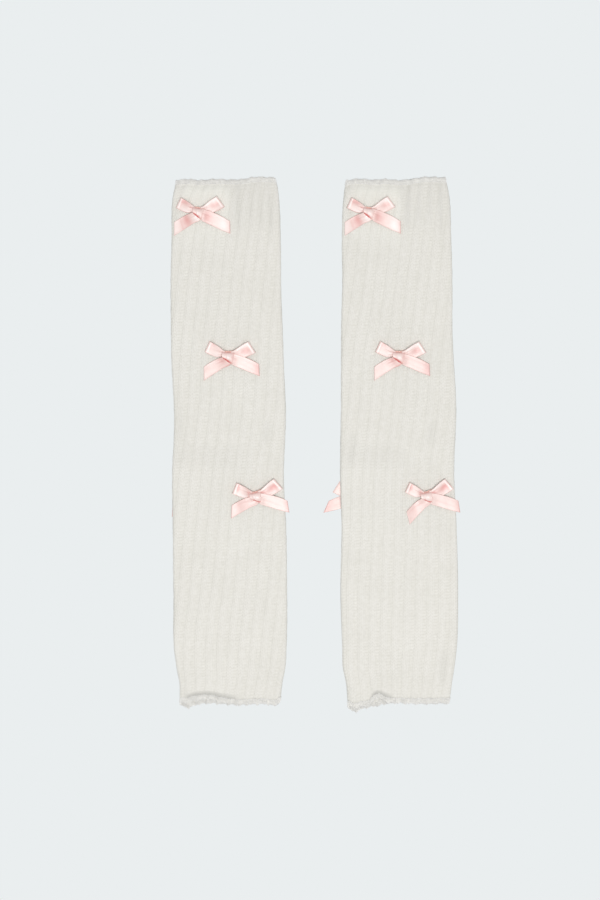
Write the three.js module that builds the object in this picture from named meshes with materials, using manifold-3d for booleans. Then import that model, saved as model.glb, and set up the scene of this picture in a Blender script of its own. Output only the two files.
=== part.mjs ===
// A pair of rib-knit leg warmers laid flat side by side, open at both hems, with satin ribbon bows.
// Millimetres. X runs to the right, Y runs up the legs to the top hems, Z rises from the surface
// that the pair lies on. The origin is under the middle of the pair.
import * as THREE from 'three';
import { mergeVertices } from 'three/addons/utils/BufferGeometryUtils.js';
import Module from 'manifold-3d';

const wasm = await Module();
wasm.setup();

// Knit tube
const CLOTH = 1.5;            // thickness of the knit under a rib's valley
const LAYER_GAP = 0.4;        // air between the front and the back layer
const RIBS_AROUND = 21;       // ribs round one leg
const RIB_PROFILE = [0, 0.8, 1, 0.8];   // height across one rib, from valley to valley
const RIB_HEIGHT = 0.9;       // crest over valley
const GATHER_DEPTH = 0.5;     // extra crest height where a top hem is drawn in
const FOLD_STRETCH = 2.2;     // ribs are pressed closer together round each side fold
const SCALLOP = 0.8;          // wave of a hem's edge, one for each rib
const HEM_TOP = 227;          // plain level of the top hem
const HEM_BOTTOM = -222;      // plain level of the bottom hem
const HEM_REACH = 32;         // how far into the leg an uneven hem is felt
const HEM_STEPS = [0, 3, 8, 16, 28];    // rings counted inwards from a hem
const BODY_STEP = 22;         // spacing of the rings between the hems
const FOLD_RADIUS = CLOTH + LAYER_GAP / 2;
const LEG_THICKNESS = 2 * FOLD_RADIUS;

// Satin bows
const RIBBON_WIDTH = 10;
const RIBBON = 1.0;           // thickness of the ribbon
const RIBBON_AT_KNOT = 5.4;   // width to which the ribbon is squeezed beside the knot
const LOOP_LEFT = 19;         // from the middle of the knot to the end of a loop or tail
const LOOP_RIGHT = 22.3;
const TAIL_LEFT = 24.4;
const TAIL_RIGHT = 29.5;
const STEEPEST_CUT = 0.75;    // most slant of a tail's cut end, sideways run over width
const LOOP_PUFF = 1.6;        // air inside a loop that stands free
const LOOP_PRESSED = 0.3;     // air inside a loop that lies under a leg
const TAIL_DROP = 0.2;        // air between a tail and the loop over it
const BOW_CLEARANCE = 0.4;    // air between a bow and the knit
const KNOT = { length: 10.4, width: 8.4, turn: -34, sides: 12, rows: 6 };

// Each bow pressed under a leg lifts the back layer over a plateau, which falls away round it
const PRESSED_BOW_Y = -45;
const PLATEAU = { left: 29, right: 24, up: BODY_STEP, slope: 26 };

const KNIT = new THREE.MeshStandardMaterial({ color: 0xe8e5dc, roughness: 0.95, metalness: 0 });
const SATIN = new THREE.MeshStandardMaterial({ color: 0xffcfca, roughness: 0.38, metalness: 0 });

// Side outline of each leg: left and right fold at the height y
const LEFT_OUTLINE = [
  { y: -222, left: -115.5, right: -29.0 },
  { y: -205, left: -115.5, right: -27.4 },
  { y: -190, left: -118.2, right: -24.8 },
  { y: -176, left: -120.2, right: -24.2 },
  { y: -125, left: -120.7, right: -23.4 },
  { y: -73, left: -121.3, right: -24.4 },
  { y: -22, left: -121.4, right: -26.2 },
  { y: 29, left: -120.4, right: -24.6 },
  { y: 80, left: -122.8, right: -26.8 },
  { y: 131, left: -123.1, right: -28.4 },
  { y: 178, left: -122.5, right: -29.2 },
  { y: 208, left: -121.7, right: -30.2 },
  { y: 227, left: -119.0, right: -33.4 },
];
const RIGHT_OUTLINE = [
  { y: -222, left: 28.0, right: 115.2 },
  { y: -205, left: 27.0, right: 117.4 },
  { y: -190, left: 23.8, right: 119.7 },
  { y: -176, left: 23.5, right: 121.4 },
  { y: -125, left: 22.1, right: 122.7 },
  { y: -73, left: 22.9, right: 121.5 },
  { y: -22, left: 21.3, right: 119.1 },
  { y: 29, left: 22.5, right: 121.2 },
  { y: 80, left: 22.3, right: 118.3 },
  { y: 131, left: 23.3, right: 117.6 },
  { y: 178, left: 23.3, right: 116.8 },
  { y: 208, left: 24.0, right: 115.3 },
  { y: 227, left: 26.4, right: 112.3 },
];

// Hem edges across a leg from its left fold, 0, to its right fold, 1: how far the back and the
// front layer reach past the plain level (negative is short of it), and the front layer's lift
const LEFT_TOP_HEM = [
  { across: 0.00, back: -1.8, front: -1.6, lift: 0.0 },
  { across: 0.12, back: -0.6, front: -0.4, lift: 0.1 },
  { across: 0.25, back: -1.6, front: -1.4, lift: 0.3 },
  { across: 0.38, back: -0.6, front: -0.4, lift: 0.2 },
  { across: 0.55, back: -1.0, front: -0.8, lift: 0.3 },
  { across: 0.68, back: -0.4, front: -0.3, lift: 0.2 },
  { across: 0.78, back: 1.0, front: 1.2, lift: 0.2 },
  { across: 1.00, back: 0.8, front: 1.0, lift: 0.0 },
];
const RIGHT_TOP_HEM = [
  { across: 0.00, back: -1.8, front: -1.6, lift: 0.0 },
  { across: 0.12, back: -0.4, front: -0.2, lift: 0.1 },
  { across: 0.28, back: -1.3, front: -1.1, lift: 0.3 },
  { across: 0.40, back: -0.6, front: -0.4, lift: 0.2 },
  { across: 0.52, back: -1.6, front: -1.4, lift: 0.3 },
  { across: 0.66, back: -0.4, front: -0.3, lift: 0.2 },
  { across: 0.76, back: 0.9, front: 1.1, lift: 0.2 },
  { across: 1.00, back: 0.8, front: 1.0, lift: 0.0 },
];
const LEFT_BOTTOM_HEM = [
  { across: 0.00, back: 0.5, front: -1.0, lift: 0.0 },
  { across: 0.07, back: 3.4, front: -1.2, lift: 1.4 },
  { across: 0.18, back: 0.6, front: -3.6, lift: 2.4 },
  { across: 0.30, back: -0.3, front: -3.8, lift: 2.4 },
  { across: 0.45, back: 0.4, front: -0.9, lift: 1.8 },
  { across: 0.60, back: 1.0, front: 0.6, lift: 0.8 },
  { across: 0.70, back: 0.2, front: 0.1, lift: 0.0 },
  { across: 0.87, back: 0.0, front: 0.0, lift: 0.3 },
  { across: 0.94, back: 1.3, front: 1.0, lift: 0.6 },
  { across: 1.00, back: -2.5, front: -3.0, lift: 0.0 },
];
const RIGHT_BOTTOM_HEM = [
  { across: 0.00, back: 3.0, front: 1.0, lift: 0.0 },
  { across: 0.07, back: 7.0, front: 4.0, lift: 0.9 },
  { across: 0.13, back: 4.8, front: 2.4, lift: 0.6 },
  { across: 0.21, back: 3.0, front: 0.8, lift: 0.8 },
  { across: 0.28, back: 2.0, front: -4.8, lift: 2.4 },
  { across: 0.39, back: 0.0, front: -1.6, lift: 1.6 },
  { across: 0.48, back: -0.8, front: -1.0, lift: 0.4 },
  { across: 0.70, back: -0.2, front: -0.4, lift: 0.0 },
  { across: 1.00, back: -0.6, front: -1.0, lift: 0.0 },
];

// How far the ribs have moved to the right at the height y: they lean, and less so low on the right leg
const LEFT_LEAN = [
  { y: -230, shift: 0 },
  { y: 235, shift: 51 },
];
const RIGHT_LEAN = [
  { y: -230, shift: 0 },
  { y: -48, shift: 6 },
  { y: 235, shift: 37 },
];

// Bows on the front layer: the knot's place, and the directions of loops and tails in degrees
const LEFT_BOWS = [
  { x: -99.3, y: 197.3, loopLeft: 155, loopRight: 25, tailLeft: 215, tailRight: -26 },
  { x: -73.8, y: 74.5, loopLeft: 153, loopRight: 20.5, tailLeft: 214, tailRight: -21.6 },
  { x: -50.3, y: -44.7, loopLeft: 159, loopRight: 29, tailLeft: 213, tailRight: -16.7 },
];
const RIGHT_BOWS = [
  { x: 46.1, y: 197.3, loopLeft: 154, loopRight: 25, tailLeft: 216, tailRight: -26 },
  { x: 71.4, y: 74.5, loopLeft: 153, loopRight: 20.5, tailLeft: 214, tailRight: -21.6 },
  { x: 95.3, y: -44.7, loopLeft: 160, loopRight: 28.5, tailLeft: 227, tailRight: -16.7 },
];
// The bow on the back layer that reaches out past the left fold
const LEFT_BACK_BOW = { x: -95.2, y: -45.6, loopLeft: 154, loopRight: 24, tailLeft: 214, tailRight: -22 };
const RIGHT_BACK_BOW = { x: 38.7, y: -44.4, loopLeft: 154, loopRight: 24, tailLeft: 214, tailRight: -22 };

const LEGS = [
  {
    side: 'left', outline: LEFT_OUTLINE, topHem: LEFT_TOP_HEM, bottomHem: LEFT_BOTTOM_HEM,
    lean: LEFT_LEAN, bows: LEFT_BOWS, backBow: LEFT_BACK_BOW,
  },
  {
    side: 'right', outline: RIGHT_OUTLINE, topHem: RIGHT_TOP_HEM, bottomHem: RIGHT_BOTTOM_HEM,
    lean: RIGHT_LEAN, bows: RIGHT_BOWS, backBow: RIGHT_BACK_BOW,
  },
];

const radians = THREE.MathUtils.degToRad;
const lerp = THREE.MathUtils.lerp;

function smooth(value) {
  return THREE.MathUtils.smoothstep(value, 0, 1);
}

// Reads one column of a table between its rows, which are sorted by the key column
function readTable(rows, key, at, column) {
  const last = rows.length - 1;
  let i = 0;
  while (i < last - 1 && at > rows[i + 1][key]) i += 1;
  const share = THREE.MathUtils.clamp((at - rows[i][key]) / (rows[i + 1][key] - rows[i][key]), 0, 1);
  return lerp(rows[i][column], rows[i + 1][column], share);
}

// Height to which a leg is raised over the bow pressed under it
function raiseAt(leg, x, y) {
  const dx = x - leg.backBow.x;
  const beyondX = Math.max(-dx - PLATEAU.left, dx - PLATEAU.right, 0);
  const beyondY = Math.max(Math.abs(y - PRESSED_BOW_Y) - PLATEAU.up, 0);
  const away = Math.hypot(beyondX, beyondY) / PLATEAU.slope;
  return (bowHeight(LOOP_PRESSED) + BOW_CLEARANCE) * smooth(1 - away);
}

// A point of the cloth's middle surface on the ring at height y, and its outward direction.
// around runs from 0 to 1: across the front layer, round the right fold, back and round the left
function clothPoint(leg, y, around) {
  const middleRadius = (CLOTH + LAYER_GAP) / 2;
  const left = readTable(leg.outline, 'y', y, 'left') + FOLD_RADIUS + RIB_HEIGHT / 2;
  const right = readTable(leg.outline, 'y', y, 'right') - FOLD_RADIUS - RIB_HEIGHT / 2;
  const straight = right - left;
  const fold = Math.PI * middleRadius * FOLD_STRETCH;
  const length = 2 * (straight + fold);
  const shift = readTable(leg.lean, 'y', y, 'shift') / length;
  let along = (((around + shift) % 1) + 1) % 1 * length;
  const middle = CLOTH / 2 + middleRadius;
  if (along < straight) return hemmed(leg, y, left + along, middle + middleRadius, 0, 1);
  along -= straight;
  if (along < fold) {
    const turn = Math.PI * along / fold;
    const [nx, nz] = [Math.sin(turn), Math.cos(turn)];
    return hemmed(leg, y, right + nx * middleRadius, middle + nz * middleRadius, nx, nz);
  }
  along -= fold;
  if (along < straight) return hemmed(leg, y, right - along, middle - middleRadius, 0, -1);
  const turn = Math.PI * (along - straight) / fold;
  const [nx, nz] = [-Math.sin(turn), -Math.cos(turn)];
  return hemmed(leg, y, left + nx * middleRadius, middle + nz * middleRadius, nx, nz);
}

// Moves a point of the cloth with the uneven hems, the lifted edges and the bow underneath
function hemmed(leg, y, x, z, nx, nz) {
  const left = readTable(leg.outline, 'y', y, 'left');
  const right = readTable(leg.outline, 'y', y, 'right');
  const across = (x - left) / (right - left);
  const front = (1 + nz) / 2;
  const nearTop = smooth(1 - (HEM_TOP - y) / HEM_REACH);
  const nearBottom = smooth(1 - (y - HEM_BOTTOM) / HEM_REACH);
  const reach = (hem) => lerp(readTable(hem, 'across', across, 'back'),
    readTable(hem, 'across', across, 'front'), front);
  const lift = (hem) => readTable(hem, 'across', across, 'lift') * front;
  const movedY = y + nearTop * reach(leg.topHem) - nearBottom * reach(leg.bottomHem);
  const raised = nearTop * lift(leg.topHem) + nearBottom * lift(leg.bottomHem) + raiseAt(leg, x, y);
  const gather = nearTop * front * smooth((across - 0.55) / 0.2) * GATHER_DEPTH;
  return { x, y: movedY, z: z + raised, nx, nz, gather, nearTop, nearBottom };
}

// A vertex of the outer face, where the ribs stand up, or of the plain inner face
function outerVertex(leg, y, column, columns) {
  const point = clothPoint(leg, y, column / columns);
  const rib = RIB_PROFILE[column % RIB_PROFILE.length];
  const seen = smooth(1 + point.nz);
  const out = CLOTH / 2 + seen * rib * (RIB_HEIGHT + point.gather);
  const edge = (point.nearTop === 1 ? 1 : 0) - (point.nearBottom === 1 ? 1 : 0);
  return [point.x + point.nx * out, point.y + edge * SCALLOP * rib, point.z + point.nz * out];
}

function innerVertex(leg, y, column, columns) {
  const point = clothPoint(leg, y, column / columns);
  return [point.x - point.nx * CLOTH / 2, point.y, point.z - point.nz * CLOTH / 2];
}

// Heights of the rings, close together at the hems
function ringHeights() {
  const low = HEM_STEPS.map((step) => HEM_BOTTOM + step);
  const high = HEM_STEPS.map((step) => HEM_TOP - step).reverse();
  const body = [];
  for (let y = PRESSED_BOW_Y; y > low.at(-1) + BODY_STEP / 3; y -= BODY_STEP) body.unshift(y);
  for (let y = PRESSED_BOW_Y + BODY_STEP; y < high[0] - BODY_STEP / 3; y += BODY_STEP) body.push(y);
  return [...low, ...body, ...high];
}

// Joins two neighbouring rings of the same column count, facing out for forward
function joinRings(faces, from, to, columns, forward) {
  for (let k = 0; k < columns; k += 1) {
    const next = (k + 1) % columns;
    const quad = [from + k, from + next, to + next, to + k];
    if (!forward) quad.reverse();
    faces.push(quad[0], quad[1], quad[2], quad[0], quad[2], quad[3]);
  }
}

// Closes the cloth's edge between the outer ring and the coarser inner ring
function joinRim(faces, outer, inner, outerColumns, innerColumns, forward) {
  const ratio = outerColumns / innerColumns;
  const push = (a, b, c) => (forward ? faces.push(a, b, c) : faces.push(a, c, b));
  for (let j = 0; j < innerColumns; j += 1) {
    const nextInner = inner + (j + 1) % innerColumns;
    push(inner + j, nextInner, outer + (ratio * (j + 1)) % outerColumns);
    for (let k = 0; k < ratio; k += 1) {
      push(inner + j, outer + (ratio * j + k + 1) % outerColumns, outer + ratio * j + k);
    }
  }
}

// One leg: a flattened tube of knit, ribbed outside and plain inside, open at both ends
function legGeometry(leg) {
  const outerColumns = RIBS_AROUND * RIB_PROFILE.length;
  const innerColumns = outerColumns / 3;
  const heights = ringHeights();
  const vertices = [];
  const outerRings = [];
  const innerRings = [];
  for (const y of heights) {
    outerRings.push(vertices.length);
    for (let k = 0; k < outerColumns; k += 1) vertices.push(outerVertex(leg, y, k, outerColumns));
    innerRings.push(vertices.length);
    for (let k = 0; k < innerColumns; k += 1) vertices.push(innerVertex(leg, y, k, innerColumns));
  }
  const faces = [];
  for (let i = 0; i + 1 < heights.length; i += 1) {
    joinRings(faces, outerRings[i], outerRings[i + 1], outerColumns, true);
    joinRings(faces, innerRings[i], innerRings[i + 1], innerColumns, false);
  }
  joinRim(faces, outerRings[0], innerRings[0], outerColumns, innerColumns, true);
  joinRim(faces, outerRings.at(-1), innerRings.at(-1), outerColumns, innerColumns, false);
  return indexedGeometry(vertices, faces);
}

function indexedGeometry(vertices, faces) {
  const geometry = new THREE.BufferGeometry();
  geometry.setAttribute('position', new THREE.Float32BufferAttribute(vertices.flat(), 3));
  geometry.setIndex(faces);
  geometry.computeVertexNormals();
  return geometry;
}

// Whole height of a bow: a tail, the two layers of a loop and the knot's crown
function bowHeight(puff) {
  return 3 * RIBBON + TAIL_DROP + puff + TAIL_DROP;
}

// A strip of ribbon through stations that give its middle point, its half width and the
// direction in which its upper face looks, as an angle in the plane of the strip's run
function ribbonStrip(stations, heading) {
  const along = new THREE.Vector2(Math.cos(heading), Math.sin(heading));
  const sideways = new THREE.Vector2(-along.y, along.x);
  const vertices = [];
  for (const { reach, height, half, facing, skew = 0 } of stations) {
    for (const [side, face] of [[-1, -1], [1, -1], [1, 1], [-1, 1]]) {
      const r = reach + Math.cos(facing) * face * RIBBON / 2 + skew * side * half;
      const x = along.x * r + sideways.x * side * half;
      const y = along.y * r + sideways.y * side * half;
      vertices.push([x, y, height + Math.sin(facing) * face * RIBBON / 2]);
    }
  }
  const faces = [0, 2, 1, 0, 3, 2];
  for (let i = 0; i + 1 < stations.length; i += 1) {
    joinRings(faces, 4 * i, 4 * (i + 1), 4, true);
  }
  const end = 4 * (stations.length - 1);
  faces.push(end, end + 1, end + 2, end, end + 2, end + 3);
  return indexedGeometry(vertices, faces);
}

// The ribbon's half width at a distance from the knot, where it is squeezed
function squeezed(reach) {
  return lerp(RIBBON_AT_KNOT, RIBBON_WIDTH, smooth((reach - 3) / 9)) / 2;
}

// A loop runs out over the tail, turns over at its end and comes back above
function loopStrip(length, heading, puff) {
  const low = RIBBON * 1.5 + TAIL_DROP;
  const radius = (RIBBON + puff) / 2;
  const root = 1.5;
  const stations = [];
  const up = Math.PI / 2;
  for (const share of [0, 0.35, 0.7]) {
    const reach = lerp(root, length - radius, share);
    stations.push({ reach, height: low, half: squeezed(reach), facing: up });
  }
  for (let i = 0; i <= 4; i += 1) {
    const turn = Math.PI * i / 4;
    const reach = length - radius - RIBBON / 2 + Math.sin(turn) * radius;
    const height = low + radius - Math.cos(turn) * radius;
    stations.push({ reach, height, half: squeezed(reach), facing: up + turn });
  }
  for (const share of [0.7, 0.35, 0]) {
    const reach = lerp(root, length - radius, share);
    stations.push({ reach, height: low + 2 * radius, half: squeezed(reach), facing: 3 * up });
  }
  return ribbonStrip(stations, heading);
}

// A tail leaves the knot and lies on the knit, and is cut off in line with the leg
function tailStrip(length, heading) {
  const cut = THREE.MathUtils.clamp(Math.tan(heading), -STEEPEST_CUT, STEEPEST_CUT);
  const stations = [];
  const steps = 6;
  for (let i = 0; i <= steps; i += 1) {
    const share = i / steps;
    const reach = lerp(1.5, length, share);
    stations.push({
      reach, height: RIBBON / 2, half: squeezed(reach), facing: Math.PI / 2, skew: share * cut,
    });
  }
  return ribbonStrip(stations, heading);
}

// The knot: a small pad of ribbon wrapped aslant over the middle
function knotPad(height) {
  const geometry = new THREE.SphereGeometry(0.5, KNOT.sides, KNOT.rows);
  geometry.rotateX(Math.PI / 2);
  geometry.scale(KNOT.length, KNOT.width, height);
  geometry.rotateZ(radians(KNOT.turn));
  geometry.translate(0, 0, height / 2);
  return geometry;
}

function toSolid(geometry) {
  const bare = geometry.clone();
  bare.deleteAttribute('normal');
  bare.deleteAttribute('uv');
  const merged = mergeVertices(bare, 1e-4);
  return new wasm.Manifold(new wasm.Mesh({
    numProp: 3,
    vertProperties: new Float32Array(merged.attributes.position.array),
    triVerts: new Uint32Array(merged.index.array),
  }));
}

function toGeometry(solid) {
  const mesh = solid.getMesh();
  const geometry = new THREE.BufferGeometry();
  geometry.setAttribute('position', new THREE.BufferAttribute(new Float32Array(mesh.vertProperties), 3));
  geometry.setIndex([...mesh.triVerts]);
  geometry.computeVertexNormals();
  return geometry;
}

// One bow about its knot: two loops, two tails and the knot, tied from one ribbon
function bowGeometry(bow, puff) {
  const parts = [
    loopStrip(LOOP_LEFT, radians(bow.loopLeft), puff),
    loopStrip(LOOP_RIGHT, radians(bow.loopRight), puff),
    tailStrip(TAIL_LEFT, radians(bow.tailLeft)),
    tailStrip(TAIL_RIGHT, radians(bow.tailRight)),
    knotPad(bowHeight(puff)),
  ];
  return toGeometry(parts.map(toSolid).reduce((whole, part) => whole.add(part)));
}

// Lays a bow on the front layer: each of its points rides up with the knit under it
function frontBow(leg, bow) {
  const geometry = bowGeometry(bow, LOOP_PUFF);
  const position = geometry.attributes.position;
  const top = LEG_THICKNESS + RIB_HEIGHT + BOW_CLEARANCE;
  for (let i = 0; i < position.count; i += 1) {
    const x = position.getX(i) + bow.x;
    const y = position.getY(i) + bow.y;
    position.setXYZ(i, x, y, position.getZ(i) + top + raiseAt(leg, x, y));
  }
  geometry.computeVertexNormals();
  return geometry;
}

// The back bow is turned over, so its knot faces down, and lies pressed under the leg
function backBow(bow) {
  const geometry = bowGeometry(bow, LOOP_PRESSED);
  geometry.rotateY(Math.PI);
  geometry.translate(bow.x, bow.y, bowHeight(LOOP_PRESSED));
  return geometry;
}

function namedMesh(name, geometry, material) {
  const mesh = new THREE.Mesh(geometry, material);
  mesh.name = name;
  return mesh;
}

function legGroup(leg) {
  const group = new THREE.Group();
  group.add(namedMesh(`leg_${leg.side}`, legGeometry(leg), KNIT));
  leg.bows.forEach((bow, i) => {
    group.add(namedMesh(`bow_${leg.side}_${i + 1}`, frontBow(leg, bow), SATIN));
  });
  group.add(namedMesh(`bow_${leg.side}_back`, backBow(leg.backBow), SATIN));
  return group;
}

const pair = new THREE.Group();
for (const leg of LEGS) pair.add(legGroup(leg));

export default pair;
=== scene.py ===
import bpy
import math
import numpy as np
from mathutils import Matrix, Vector


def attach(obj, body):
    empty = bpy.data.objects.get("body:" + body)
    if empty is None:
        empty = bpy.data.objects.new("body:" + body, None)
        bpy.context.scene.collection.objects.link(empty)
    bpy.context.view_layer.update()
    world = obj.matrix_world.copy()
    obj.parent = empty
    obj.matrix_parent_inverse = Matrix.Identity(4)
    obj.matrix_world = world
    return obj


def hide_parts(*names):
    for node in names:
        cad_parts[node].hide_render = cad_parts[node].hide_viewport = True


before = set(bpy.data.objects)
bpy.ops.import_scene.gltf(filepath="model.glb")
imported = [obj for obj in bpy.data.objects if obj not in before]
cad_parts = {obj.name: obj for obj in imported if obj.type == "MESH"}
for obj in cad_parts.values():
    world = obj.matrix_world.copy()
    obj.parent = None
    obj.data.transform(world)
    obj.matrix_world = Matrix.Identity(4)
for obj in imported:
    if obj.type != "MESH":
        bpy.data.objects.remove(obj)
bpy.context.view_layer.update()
print("frame loaded:", len(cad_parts), "nodes")

mm = 0.001
fullTurn = 6.2832            # in the shaders
scene = bpy.context.scene


# camera, straight above the pair

cameraView = {
    "middle": (-12.6, -4.9),  # mm, what the middle of the picture looks at
    "tall": 768.6,            # mm of floor from the top to the bottom of the picture
    "lens": 70.0,
    "sensor": 36.0,
    "focusLevel": 3.0,        # mm, height at which "tall" holds
}


def makeCamera(c):
    data = bpy.data.cameras.new("overheadCamera")
    data.lens = c["lens"]
    data.sensor_width = c["sensor"]
    away = c["tall"] * c["lens"] / c["sensor"] + c["focusLevel"]
    camera = bpy.data.objects.new("overheadCamera", data)
    camera.location = (c["middle"][0] * mm, c["middle"][1] * mm, away * mm)
    data.clip_start, data.clip_end = 0.05, 20
    scene.collection.objects.link(camera)
    scene.camera = camera


makeCamera(cameraView)


# shader maths

class Wire:
    # one output socket, so that sums of shader values read as plain sums
    def __init__(self, finish, socket):
        self.finish, self.socket = finish, socket

    def maths(self, operation, *values, clamp=False):
        node = self.finish.add("ShaderNodeMath", {"operation": operation, "use_clamp": clamp},
                               dict(enumerate(values)))
        return Wire(self.finish, node.outputs[0])

    def __add__(self, other):
        return self.maths("ADD", self, other)

    def __radd__(self, other):
        return self.maths("ADD", other, self)

    def __sub__(self, other):
        return self.maths("SUBTRACT", self, other)

    def __rsub__(self, other):
        return self.maths("SUBTRACT", other, self)

    def __mul__(self, other):
        return self.maths("MULTIPLY", self, other)

    def __rmul__(self, other):
        return self.maths("MULTIPLY", other, self)

    def __truediv__(self, other):
        return self.maths("DIVIDE", self, other)

    def __rtruediv__(self, other):
        return self.maths("DIVIDE", other, self)

    def __pow__(self, other):
        return self.maths("POWER", self, other)

    def __lt__(self, other):
        return self.maths("LESS_THAN", self, other)

    def __gt__(self, other):
        return self.maths("GREATER_THAN", self, other)

    def fract(self):
        return self.maths("FRACT", self)

    def away(self, other):
        return self.maths("ABSOLUTE", self - other)

    def sine(self):
        return self.maths("SINE", self)

    def clamped(self):
        return self.maths("ADD", self, 0.0, clamp=True)


class Finish:
    # a material with one Principled shader, built node by node
    def __init__(self, name):
        self.material = bpy.data.materials.new(name)
        self.material.use_nodes = True
        self.tree = self.material.node_tree
        self.tree.nodes.clear()
        self.shader = self.add("ShaderNodeBsdfPrincipled", {}, {})
        self.add("ShaderNodeOutputMaterial", {}, {"Surface": self.out(self.shader, "BSDF")})

    def add(self, kind, settings, sockets):
        node = self.tree.nodes.new(kind)
        for name, value in settings.items():
            setattr(node, name, value)
        for name, value in sockets.items():
            if isinstance(value, Wire):
                self.tree.links.new(value.socket, node.inputs[name])
            else:
                node.inputs[name].default_value = value
        return node

    def out(self, node, name=0):
        return Wire(self, node.outputs[name])

    def mixColours(self, factor, first, second):
        node = self.add("ShaderNodeMix", {"data_type": "RGBA"}, {0: factor, 6: first, 7: second})
        return Wire(self, node.outputs[2])

    # the painted shade of a point, or its painted light or highlight where below 0
    def crease(self):
        return self.out(self.add("ShaderNodeAttribute", {"attribute_name": "crease"}, {}), "Fac")

    def noise(self, vector, scale, detail):
        node = self.add("ShaderNodeTexNoise", {}, {"Vector": vector, "Scale": scale, "Detail": detail})
        return self.out(node)

    def spot(self):
        return self.out(self.add("ShaderNodeTexCoord", {}, {}), "Object")

    def mapped(self):
        place = self.add("ShaderNodeUVMap", {"uv_map": "knitMap"}, {})
        parts = self.add("ShaderNodeSeparateXYZ", {}, {"Vector": self.out(place)})
        return self.out(parts, "X"), self.out(parts, "Y")

    def set(self, **values):
        for name, value in values.items():
            socket = self.shader.inputs[name.replace("_", " ")]
            if isinstance(value, Wire):
                self.tree.links.new(value.socket, socket)
            else:
                socket.default_value = value


def srgb(red, green, blue):
    def linear(c):
        c /= 255
        return c / 12.92 if c <= 0.04045 else ((c + 0.055) / 1.055) ** 2.4
    return (linear(red), linear(green), linear(blue), 1.0)


# meshes

def makeMesh(name, points, faces, material, uvs=None, creases=None):
    # the faces come in blocks: the first two smooth, the rest, which are thin edges, flat
    points = np.asarray(points, float) * mm
    faces = [np.asarray(f, np.int32) for f in faces]
    mesh = bpy.data.meshes.new(name)
    mesh.vertices.add(len(points))
    mesh.vertices.foreach_set("co", points.ravel())
    corners = np.concatenate([f.ravel() for f in faces])
    sizes = np.concatenate([np.full(len(f), f.shape[1]) for f in faces])
    mesh.loops.add(len(corners))
    mesh.loops.foreach_set("vertex_index", corners)
    mesh.polygons.add(len(sizes))
    mesh.polygons.foreach_set("loop_start", np.concatenate([[0], np.cumsum(sizes)[:-1]]))
    mesh.update(calc_edges=True)
    if uvs is not None:
        layer = mesh.uv_layers.new(name="knitMap")
        layer.data.foreach_set("uv", np.concatenate([u.reshape(-1, 2) for u in uvs]).ravel())
    if creases is not None:
        # how much painted shade each point gets, up to 1, or how much painted light or painted highlight,
        # down to -1
        layer = mesh.attributes.new("crease", "FLOAT", "POINT")
        layer.data.foreach_set("value", np.clip(creases, -1, 1).ravel())
    smooth = np.concatenate([np.full(len(f), i < 2) for i, f in enumerate(faces)])
    mesh.polygons.foreach_set("use_smooth", smooth)
    mesh.materials.append(material)
    mesh.validate()
    piece = bpy.data.objects.new(name, mesh)
    scene.collection.objects.link(piece)
    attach(piece, "root")
    return piece


def gridFaces(rows, columns, first=0, closed=True, flip=False):
    across = columns if closed else columns - 1
    r, k = np.meshgrid(np.arange(rows - 1), np.arange(across), indexing="ij")
    r, k = r.ravel(), k.ravel()
    nextK = (k + 1) % columns
    quad = np.stack([r * columns + k, r * columns + nextK,
                     (r + 1) * columns + nextK, (r + 1) * columns + k], 1) + first
    return quad[:, ::-1] if flip else quad


def table(columns, *rows):
    # rows of values under named columns; a row may leave out the last ones
    return [dict(zip(columns.split(), row)) for row in rows]


def ease(value):
    value = np.clip(value, 0, 1)
    return value * value * (3 - 2 * value)


def rise(value, span):
    # from 0 to 1, from where the span starts and over its length, which is negative for a fall
    return ease((value - span[0]) / span[1])


def readColumn(rows, key, at, name):
    # a smooth line through one column of a table, straight at its ends
    xs = np.array([row[key] for row in rows], float)
    ys = np.array([row[name] for row in rows], float)
    slopes = np.gradient(ys, xs)
    at = np.clip(at, xs[0], xs[-1])
    i = np.clip(np.searchsorted(xs, at, side="right") - 1, 0, len(xs) - 2)
    gap = xs[i + 1] - xs[i]
    t = (at - xs[i]) / gap
    return ((2 * t**3 - 3 * t**2 + 1) * ys[i] + (t**3 - 2 * t**2 + t) * gap * slopes[i]
            + (-2 * t**3 + 3 * t**2) * ys[i + 1] + (t**3 - t**2) * gap * slopes[i + 1])


# knit legs

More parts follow.
